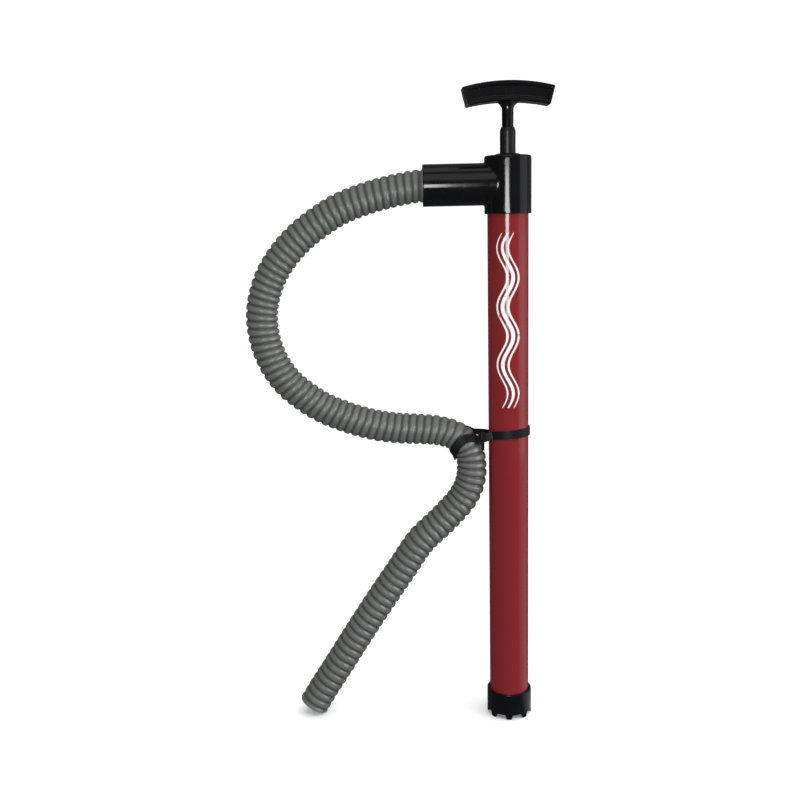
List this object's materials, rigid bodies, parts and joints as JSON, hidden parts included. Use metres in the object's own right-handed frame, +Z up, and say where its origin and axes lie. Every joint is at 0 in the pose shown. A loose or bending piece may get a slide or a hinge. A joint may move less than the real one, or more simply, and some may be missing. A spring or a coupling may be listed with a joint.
{
  "type": "hand bilge pump",
  "caption": "Hand bilge pump: T-handle plunger in a tube barrel with side outlet, ribbed discharge hose tied to the barrel and a castellated strainer foot.",
  "frame": {"origin": "on the barrel's axis, in the plane that the feet stand on, at the bottom face of the strainer's centre boss", "axes": "+Z up along the barrel towards the handle, -X towards the hose outlet, -Y towards the viewer of the picture"},
  "size_m": [0.32, 0.0489, 0.6778],
  "materials": {
    "barrel_red": "glossy extruded dark red tube",
    "moulded_black": "glossy injection moulded black",
    "rod_black": "satin to glossy black tube",
    "white_nylon": "natural white moulding",
    "black_rubber": "matt black rubber",
    "hose_grey": "satin grey-green ribbed hose",
    "strap_black": "semi-matt black nylon strap",
    "stainless": "turned stainless steel"
  },
  "bodies": {
    "barrel": {"barrel_tube": "barrel_red", "pump_head": "moulded_black", "rod_guide_bush": "white_nylon", "rod_wiper_seal": "black_rubber", "strainer_cup": "moulded_black", "foot_valve_seat": "white_nylon", "foot_valve_rivet": "white_nylon", "foot_seat_gasket": "black_rubber", "hose": "hose_grey", "hose_tie": "strap_black"},
    "foot_valve": {"foot_valve_disc": "black_rubber"},
    "piston": {"piston_body": "white_nylon", "piston_retainer": "white_nylon", "piston_cup_seal": "black_rubber"},
    "piston_valve": {"piston_valve_disc": "black_rubber"},
    "plunger": {"pump_rod": "rod_black", "rod_end_plug": "white_nylon", "piston_screw": "stainless", "valve_stop_washer": "stainless", "handle": "moulded_black", "handle_pin": "stainless"}
  },
  "joints": [
    {"name": "plunger_stroke", "type": "slide", "parent": "barrel", "child": "piston", "axis": [0, 0, 1], "range_m": [0, 0.5]},
    {"name": "plunger_turn", "type": "hinge", "parent": "piston", "child": "plunger", "pos_m": [0, 0, 0.6], "axis": [0, 0, 1], "continuous": true},
    {"name": "piston_valve_lift", "type": "slide", "parent": "piston", "child": "piston_valve", "axis": [0, 0, 1], "range_m": [0, 0.004]},
    {"name": "foot_valve_lift", "type": "slide", "parent": "barrel", "child": "foot_valve", "axis": [0, 0, 1], "range_m": [0, 0.004]}
  ]
}
